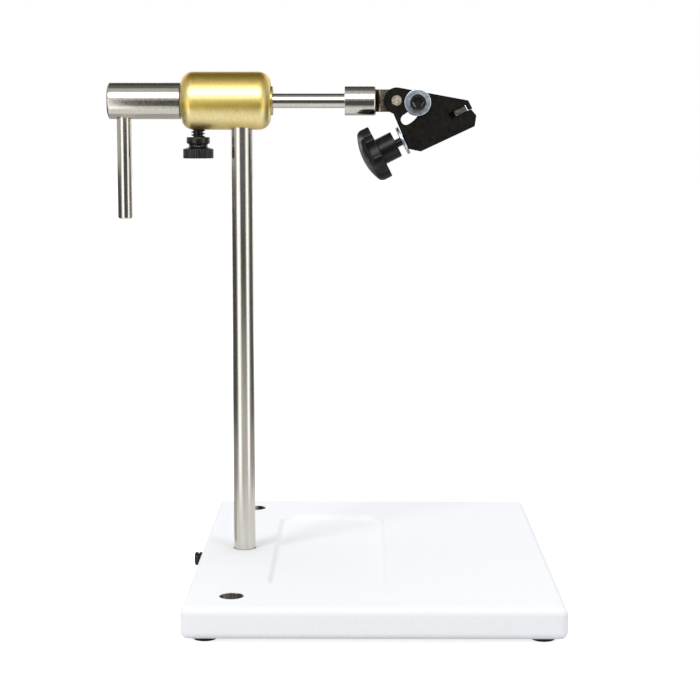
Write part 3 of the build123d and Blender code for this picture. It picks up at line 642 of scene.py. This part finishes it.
plate(tang, -yoke["tangThick"] / 2, yoke["tangThick"] / 2, bevel, bevel)
for part, place in ((neck, Matrix.Translation((front, 0, layout["axisZ"]))),
                    (tang, facingTyer(layout["pivotX"], layout["axisZ"]))):
    # the neck and tang take a darker brown steel than the collar
    paint(part.faces, 1)
    join(bm, part, place)
settle(bm, "headYoke", asMade, [turnedSteel, darkBrownSteel], "rotor", ["head_yoke"])
print("yoke made")

# cheeks: outline in the head's own view, u along the jaw and v down
cheek = {
    "round": 5.6, "waist": 3.6, "waistFillet": 2.5, "rear": 4.7, "heelRun": 4.1, "heelRise": 3.3,
    "bottomRise": 0.9, "bevel": 0.3, "slotWidth": 2.8, "slotLength": 8.55, "slotCorner": 0.3, "entry": 0.8,
    "lipReach": 27.5, "lipThick": 1.4, "lipHeight": 1.2, "lipLap": 2.55, "lipSlope": 0.2, "lipRound": 0.5,
    "lowReach": 27.75, "lowDrop": 3.3, "lowDepth": 7.15, "lowTaper": 2.7, "lowRound": 0.35,
    "pin": 2.40125, "arcWidth": 4.6, "arcRadius": 9.1, "arcStart": 32.2, "arcSweep": 58.0,
}
drop = layout["clampDrop"]
slotTop, slotLow = drop - cheek["slotWidth"] / 2, drop + cheek["slotWidth"] / 2
lipInner = cheek["lipReach"] - cheek["lipThick"]
slotRear = lipInner - cheek["slotLength"]
lipTop = slotTop - cheek["lipHeight"]
lipLow = slotTop + cheek["lipLap"]
waistV = sqrt(cheek["round"] ** 2 - cheek["waist"] ** 2)
heelV = slotLow + cheek["lowDepth"] - cheek["bottomRise"]
lipCorner, lipTip = (cheek["lipReach"], lipTop), (cheek["lipReach"], lipLow + cheek["lipSlope"])
lowNose = (cheek["lowReach"], slotLow + cheek["lowDrop"])
lowCorner = (cheek["lowReach"] - cheek["lowTaper"], slotLow + cheek["lowDepth"])


def cheekOutline(bm, match=1e-3):
    startAngle = degrees(atan2(lipTop, cheek["lipReach"]) - acos(cheek["round"] / hypot(*lipCorner)))
    waistAngle = degrees(atan2(waistV, -cheek["waist"]))
    trace(bm, [
        (0, 0, cheek["round"], startAngle, waistAngle - startAngle - 360, 36),   # round end, from the top
        (-cheek["rear"], heelV - cheek["heelRise"]),
        (cheek["heelRun"] - cheek["rear"], heelV),
        lowCorner,
        lowNose,
        (lipInner + cheek["entry"], slotLow),
        (slotRear, slotLow),
        (slotRear, slotTop),
        (lipInner, slotTop),
        (lipInner, lipLow),
        lipTip,
        lipCorner,
    ])
    for (u, v), size, steps in (
        ((-cheek["waist"], waistV), cheek["waistFillet"], 8),
        (lipCorner, cheek["lipRound"], 5),
        (lipTip, cheek["lipRound"] / 2, 4),
        (lowNose, cheek["lowRound"], 4),
        (lowCorner, cheek["lowRound"], 4),
        ((lipInner, slotTop), cheek["slotCorner"], 4),
    ):
        corner = [p for p in bm.verts if hypot(p.co.x - u, p.co.y - v) < match]
        roundOff(bm, corner, size, steps, "VERTICES")
    ringAt(bm, 0, 0, cheek["pin"])
    w, mid, a0, sweep = cheek["arcWidth"] / 2, cheek["arcRadius"], cheek["arcStart"], cheek["arcSweep"]
    a1 = a0 + sweep
    trace(bm, [
        (0, 0, mid + w, a0, sweep, 24),
        (mid * cos(radians(a1)), mid * sin(radians(a1)), w, a1, 180, 16),
        (0, 0, mid - w, a1, -sweep, 24),
        (mid * cos(radians(a0)), mid * sin(radians(a0)), w, a0 + 180, 180, 16),
    ])
    bmesh.ops.remove_doubles(bm, verts=bm.verts[:], dist=match)


gapHalf = layout["cheekGap"] / 2
for name, node, low, high, bevels in (
    ("nearCheek", "near_cheek", -headHalf, -gapHalf, (cheek["bevel"], 0.0)),
    ("farCheek", "far_cheek", gapHalf, headHalf, (0.0, cheek["bevel"])),
):
    bm = bmesh.new()
    cheekOutline(bm)
    plate(bm, low, high, *bevels)
    settle(bm, name, onHead, [blackOxide], "head", [node])
print("cheeks made")

# pivot pin
pin = {"radius": 2.38125, "edge": 0.3}
bm = bmesh.new()
rod(bm, -headHalf, headHalf, pin["radius"], pin["edge"], 1, sides["small"])
settle(bm, "pivotPin", onHead, [pinSteel], "head", ["pivot_pin"])

# angle screw, washers and nut; local z runs away from the tyer
angle = {
    "radius": 2.085, "head": 3.43, "headLength": 4.2, "edge": 0.35, "teeth": 40, "toothDepth": 0.08,
    "hex": 3.57, "hexDepth": 2.2, "hexTurn": 30.0, "glintBelow": 0.3, "glintAside": 0.5,
    "tail": 1.0, "tailEdge": 0.4,
    "washer": 5.75, "washerThick": 1.2, "washerEdge": 0.3, "flatFace": 0.98, "gap": 0.05, "bore": 2.185,
    "nutFlats": 8.73, "nut": 3.3, "nutBevel": 0.3,
}
onScrew = facingTyer(layout["pivotX"] + screwU, layout["axisZ"] - screwV)
washerFace = headHalf + angle["gap"]
headFace = washerFace + angle["washerThick"]
nutEnd = headFace + angle["nut"]
tail = nutEnd + angle["tail"]
top = -headFace - angle["headLength"]
bm = bmesh.new()
head, edge, shank = angle["head"], angle["edge"], angle["radius"]
turn(bm, [(top, head - edge), (top + edge, head), (-headFace, head), (-headFace, shank),
          (tail, shank, angle["tailEdge"], 2), (tail, 0)], angle["teeth"] * 2)
flute(bm, top + edge, -headFace, head, angle["toothDepth"], angle["teeth"])
for f in hexSocket(bm, top, top + angle["hexDepth"], angle["hex"], angle["hexTurn"]):
    centre = f.calc_center_median()
    if centre.y > angle["glintBelow"] and abs(centre.x) > angle["glintAside"]:
        f.material_index = 1      # the two lower side flats of the socket's chamfered rim take bare metal as painted glints
settle(bm, "angleScrew", onScrew, [blackScrew, bareMetalAndGlint], "angle_screw", ["angle_screw"])
bm = bmesh.new()
for z in (-headFace, washerFace):
    ring = bmesh.new()
    washer(ring, z, angle["washerThick"], angle["bore"], angle["washer"], angle["washerEdge"])
    join(bm, ring)
bm.normal_update()
rolled = [f for f in bm.faces if abs(f.normal.z) <= angle["flatFace"]]
paint(rolled, 1)      # the rolled edges take a lighter zinc as a painted highlight
settle(bm, "angleWashers", onScrew, [zincPlate, zincPaintedHighlight], "rotor", ["angle_washers"])
bm = bmesh.new()
nutCorner = angle["nutFlats"] / sqrt(3)
trace(bm, [(nutCorner * cos(radians(a)), nutCorner * sin(radians(a))) for a in range(0, 360, 60)])
ringAt(bm, 0, 0, angle["bore"])
plate(bm, headFace, nutEnd, bevelHigh=angle["nutBevel"])
settle(bm, "angleNut", onScrew, [zincPlate], "rotor", ["angle_nut"])
print("angle screw made")

# clamp block and rivets
block = {
    "start": 5.0, "length": 8.0, "top": 13.45, "bottom": 23.585,
    "rivet": 1.2, "rivetEdge": 0.12, "flush": 0.4, "rivetU": (6.9, 11.1), "rivetV": 21.8525,
}
bm = bmesh.new()
trace(bm, rectangle(block["start"], block["start"] + block["length"], block["top"], block["bottom"]))
plate(bm, -gapHalf, gapHalf)
settle(bm, "clampBlock", onHead, [blackOxide], "head", ["clamp_block"])
bm = bmesh.new()
reach = headHalf - block["flush"]
for u in block["rivetU"]:
    peg = bmesh.new()
    rod(peg, -reach, reach, block["rivet"], block["rivetEdge"], 2, sides["hidden"])
    join(bm, peg, Matrix.Translation((u, block["rivetV"], 0)))
settle(bm, "cheekRivets", onHead, [blackOxide], "head", ["cheek_rivets"])

# clamp washer and stud; local z runs towards the jaw
clamp = {
    "washer": 6.35, "washerThick": 1.2, "washerEdge": 0.2, "bore": 2.14, "stud": 2.05, "studRoot": 1.6,
    "pitch": 0.79375, "shown": 2.6, "socket": 11.0, "studEnd": 15.65, "threadSteps": 24,
}
washerRear = -cheek["rear"] - clamp["washerThick"]
knobFront = washerRear - clamp["shown"]
studRear = knobFront - clamp["socket"]
bm = bmesh.new()
washer(bm, washerRear, clamp["washerThick"], clamp["bore"], clamp["washer"], clamp["washerEdge"])
settle(bm, "clampWasher", onClamp, [zincPlate], "head", ["clamp_washer"])
bm = bmesh.new()
helixThread(bm, studRear, clamp["studEnd"], clamp["pitch"], clamp["stud"], clamp["studRoot"],
            clamp["threadSteps"])
settle(bm, "clampStud", onClamp, [blackScrew], "clamp_knob", ["clamp_stud"])

# lobed knob: turned with a domed back, then scalloped round its rim
knob = {
    "hub": 5.85, "hubLength": 7.6, "hubEdge": 0.35, "hubFoot": 0.3, "bore": 2.1, "boreGap": 0.1,
    "radius": 12.2, "rim": 5.3, "frontEdge": 0.6, "edge": 1.6, "crown": 3.0, "domeSteps": 8,
    "lobes": 7, "lobeSteps": 20, "scallop": 9.0, "scallopDepth": 1.5, "hubClear": 0.1, "faceClear": 0.01,
}
rimFront = knobFront - knob["hubLength"]
rimRear = rimFront - knob["rim"]
crown = rimRear - knob["crown"]
hub, grip, boreEnd = knob["hub"], knob["radius"], studRear - knob["boreGap"]
dome = (grip ** 2 + knob["crown"] ** 2) / (2 * knob["crown"])      # radius of the domed back
rows = [(boreEnd, 0), (boreEnd, knob["bore"]), (knobFront, knob["bore"]),
        (knobFront, hub, knob["hubEdge"], 3), (rimFront, hub, knob["hubFoot"], 3),
        (rimFront, grip, knob["frontEdge"], 4), (rimRear, grip, knob["edge"], 6)]
for k in range(knob["domeSteps"] - 1, 0, -1):
    r = grip * k / knob["domeSteps"]
    rows.append((crown + dome - sqrt(dome * dome - r ** 2), r))
bm = bmesh.new()
turn(bm, rows + [(crown, 0)], knob["lobes"] * knob["lobeSteps"])
centre = grip - knob["scallopDepth"] + knob["scallop"]
step = 2 * pi / knob["lobes"]
for v in bm.verts:
    r = hypot(v.co.x, v.co.y)
    if r > hub + knob["hubClear"] and v.co.z < rimFront + knob["faceClear"]:      # the rim and the back
        off = (atan2(v.co.y, v.co.x) + pi + step / 2) % step
        off = min(off, step - off)
        inside = knob["scallop"] ** 2 - (centre * sin(off)) ** 2
        reach = min(grip, centre * cos(off) - sqrt(inside)) if inside > 0 else grip
        blend = (r - hub) / (grip - hub)
        k = 1 - (1 - reach / grip) * min(1.0, blend)
        v.co.x *= k
        v.co.y *= k
settle(bm, "clampKnob", onClamp, [knobPlastic], "clamp_knob", ["clamp_knob"])
print("knob made")

# push bar: key in both jaw slots, tail between the cheeks
bar = {
    "front": 25.15, "length": 5.55, "height": 2.6, "half": 5.25625, "edge": 0.2,
    "tail": 3.9, "tailHeight": 4.0, "tailHalf": 2.33125,
}
keyRear = bar["front"] - bar["length"]
bm = bmesh.new()
trace(bm, rectangle(keyRear, bar["front"], -bar["height"] / 2, bar["height"] / 2))
plate(bm, -bar["half"], bar["half"], bar["edge"], bar["edge"])
tail = bmesh.new()
trace(tail, rectangle(keyRear - bar["tail"], keyRear, -bar["tailHeight"] / 2, bar["tailHeight"] / 2))
plate(tail, -bar["tailHalf"], bar["tailHalf"])
# the tail takes black oxide as painted shade between the cheeks
paint(tail.faces, 1)
join(bm, tail)
onSlot = onHead @ Matrix.Translation((0, drop, 0))
settle(bm, "pushBar", onSlot, [barSteelPaintedShade, blackOxide], "push_bar", ["push_bar"])
print("push bar made")

# inner nodes that stay as the CAD gives them
innerFinish = {"base_clamp_shoe": plainBronze, "retaining_ring": blackScrew, "drag_pad": nylonPad}
for node, finish in innerFinish.items():
    piece = frame["nodes"][node]
    piece.data.materials.clear()
    piece.data.materials.append(finish)

# studio: pale floor, white backdrop, soft boxes and grey cards that only metal sees; sizes in metres
studio = {
    "middle": (-0.02, 0.0, 0.15), "worldDiffuse": 0.55,
    "floor": (0.70, 0.70, 0.71), "floorRough": 0.9, "floorSize": 6.0, "floorLift": 0.8, "floorMirrored": 0.18,
}


def maths(tree, operation, *values):
    # a math node; each value is a number or a socket to link
    node = tree.nodes.new("ShaderNodeMath")
    node.operation = operation
    for socket, value in zip(node.inputs, values):
        if isinstance(value, bpy.types.NodeSocket):
            tree.links.new(value, socket)
        else:
            socket.default_value = value
    return node.outputs["Value"]


def emission(tree):
    node = tree.nodes.new("ShaderNodeEmission")
    node.inputs["Color"].default_value = (1, 1, 1, 1)
    return node


floorMesh = bpy.data.meshes.new("floor")
bm = bmesh.new()
bmesh.ops.create_grid(bm, x_segments=1, y_segments=1, size=studio["floorSize"])
bm.to_mesh(floorMesh)
bm.free()
floor = bpy.data.objects.new("floor", floorMesh)
scene.collection.objects.link(floor)
floorFinish, tree, shader = newFinish("paleFloor", studio["floor"], 0.0, studio["floorRough"], 0.0)
rays = tree.nodes.new("ShaderNodeLightPath").outputs
mirrored = maths(tree, "MAXIMUM", rays["Is Glossy Ray"], rays["Is Transmission Ray"])
faint = maths(tree, "MULTIPLY", mirrored, studio["floorMirrored"])
glow = emission(tree)
lift = maths(tree, "MULTIPLY_ADD", rays["Is Camera Ray"], studio["floorLift"], faint)
tree.links.new(lift, glow.inputs["Strength"])
total = tree.nodes.new("ShaderNodeAddShader")
tree.links.new(shader.outputs["BSDF"], total.inputs[0])
tree.links.new(glow.outputs["Emission"], total.inputs[1])
tree.links.new(total.outputs["Shader"], tree.nodes["Material Output"].inputs["Surface"])
floorMesh.materials.append(floorFinish)

world = bpy.data.worlds.new("studioWorld")
scene.world = world
world.use_nodes = True
tree = world.node_tree
back = tree.nodes["Background"]
back.inputs["Color"].default_value = (1, 1, 1, 1)
rays = tree.nodes.new("ShaderNodeLightPath").outputs
seen = maths(tree, "MAXIMUM", rays["Is Camera Ray"], rays["Is Glossy Ray"])
seen = maths(tree, "MAXIMUM", seen, rays["Is Transmission Ray"])
tree.links.new(spread(tree, seen, (0.0, 1.0), (studio["worldDiffuse"], 1.0)), back.inputs["Strength"])

# lamps that light paint and plastic: azimuth, elevation, distance, width and height, radiance
# azimuth is counted from the camera side towards +X
middle = Vector(studio["middle"])
for name, azimuth, elevation, distance, (width, height), radiance in (
    ("leftBox", -40, 30, 1.3, (0.4, 0.45), 10.4),
    ("rightBox", 48, 32, 1.3, (0.4, 0.5), 4.6),
    ("topBox", 180, 78, 1.3, (1.2, 0.8), 2.05),
):
    a, e = radians(azimuth), radians(elevation)
    where = middle + distance * Vector((sin(a) * cos(e), -cos(a) * cos(e), sin(e)))
    lamp = bpy.data.lights.new(name, "AREA")
    lamp.shape = "RECTANGLE"
    lamp.size = width
    lamp.size_y = height
    lamp.energy = radiance * pi * width * height
    holder = bpy.data.objects.new(name, lamp)
    scene.collection.objects.link(holder)
    holder.location = where
    holder.rotation_euler = (middle - where).to_track_quat("-Z", "Y").to_euler()
    holder.visible_camera = False
    holder.visible_glossy = False


def card(name, corners, grey):
    # a plain card that only mirror-like surfaces see
    mesh = bpy.data.meshes.new(name)
    bm = bmesh.new()
    bm.faces.new([bm.verts.new(c) for c in corners])
    bm.to_mesh(mesh)
    bm.free()
    finish = bpy.data.materials.new(name)
    finish.use_nodes = True
    tree = finish.node_tree
    tree.nodes.remove(tree.nodes["Principled BSDF"])
    glow = emission(tree)
    glow.inputs["Strength"].default_value = grey
    tree.links.new(glow.outputs["Emission"], tree.nodes["Material Output"].inputs["Surface"])
    mesh.materials.append(finish)
    piece = bpy.data.objects.new(name, mesh)
    scene.collection.objects.link(piece)
    piece.visible_camera = False
    piece.visible_diffuse = False
    piece.visible_shadow = False
    piece.visible_transmission = False


# upright cards round the stem: from azimuth, to azimuth, distance, low, high, grey
strips, walls, far, ground = 0.19, 0.25, 0.9, 0.001
for name, start, end, distance, low, high, grey in (
    ("leftStrip", -54, -25, strips, ground, 0.24, 1.7),
    ("leftFade", -66, -54, strips, ground, 0.2, 0.5),
    ("leftInner", -25, -15, strips, ground, 0.095, 0.75),
    ("farStrip", -27, -18, 0.6, ground, 0.2, 1.7),
    ("leftShade", -20, -12, 0.32, ground, 0.222, 0.09),
    ("rightStrip", 44, 68, strips, ground, 0.24, 1.7),
    ("rightFade", 68, 79, strips, ground, 0.2, 0.5),
    ("rightInner", 36, 44, strips, ground, 0.24, 0.6),
    ("frontHigh", -19, 36, strips, 0.095, 0.217, 0.09),
    ("frontMiddle", -15, 36, strips, 0.06, 0.095, 0.33),
    ("frontLow", -15, 36, strips, ground, 0.06, 0.60),
    ("leftGrey", -54, -25, far, 0.24, 0.6, 0.45),
    ("rightGrey", 36, 68, far, 0.24, 0.6, 0.45),
    ("leftWall", -135, -54, walls, 0.035, 0.18, 0.08),
    ("leftUpper", -135, -54, walls, 0.18, 0.5, 0.55),
    ("leftLow", -135, -54, walls, ground, 0.035, 0.35),
    ("rightWall", 68, 135, walls, 0.035, 0.18, 0.11),
    ("rightUpper", 68, 135, walls, 0.18, 0.5, 0.45),
    ("rightLow", 68, 135, walls, ground, 0.035, 0.40),
    ("backLeftStrip", -158, -135, far, ground, 0.9, 1.5),
    ("backRightStrip", 135, 158, far, ground, 0.9, 1.5),
    ("backWall", 158, 202, 0.95, ground, 1.0, 0.20),
):
    turned = [radians(start), radians(end)]
    ends = [(layout["stemX"] / 1000 + distance * sin(a), -distance * cos(a)) for a in turned]
    card(name, [(*ends[0], low), (*ends[1], low), (*ends[1], high), (*ends[0], high)], grey)

# cards over and behind the vise: two edges, each from x to x at its y and z, and grey
for name, (x0, x1, y0, z0), (x2, x3, y1, z1), grey in (
    ("highStrip", (-0.5, 0.45, -1.0, 0.58), (-0.45, 0.4, -0.65, 0.94), 5.5),
    ("highFade", (-0.5, 0.45, -1.0, 0.49), (-0.5, 0.45, -1.0, 0.58), 1.6),
    ("highShade", (-0.5, 0.45, -1.0, 0.2), (-0.5, 0.45, -1.0, 0.49), 0.45),
    ("topFade", (-0.9, 0.9, -0.6, 1.12), (-0.9, 0.9, -0.12, 1.12), 0.6),
    ("topCard", (-0.9, 0.9, -0.12, 1.12), (-0.9, 0.9, 0.33, 1.12), 0.17),
    ("backTop", (-0.9, 0.9, 0.33, 1.12), (-0.9, 0.9, 1.0, 1.12), 0.07),
    ("backStrip", (-0.5, 0.5, 0.8, 0.41), (-0.5, 0.5, 0.8, 0.68), 1.6),
    ("backFloor", (-0.5, 0.5, 0.0, 0.0008), (-0.5, 0.5, 0.6, 0.0008), 0.5),
):
    card(name, [(x0, y0, z0), (x1, y0, z0), (x3, y1, z1), (x2, y1, z1)], grey)
print("studio made")

# camera at the photograph's place, in millimetres and radians
view = {"place": (14.135, -770.93, 201.28), "tilt": 0.126, "yaw": -0.0063, "lens": 90.53, "sensor": 36.0}
tilt, yaw = view["tilt"], view["yaw"]
forward = Vector((sin(yaw) * cos(tilt), cos(yaw) * cos(tilt), -sin(tilt)))
right = Vector((cos(yaw), -sin(yaw), 0))
cameraData = bpy.data.cameras.new("camera")
cameraData.lens = view["lens"]
cameraData.sensor_width = view["sensor"]
camera = bpy.data.objects.new("camera", cameraData)
scene.collection.objects.link(camera)
camera.matrix_world = placed(right, right.cross(forward), -forward, Vector(view["place"]) * 0.001)
scene.camera = camera
scene.view_settings.view_transform = "Standard"

print("scene ready")
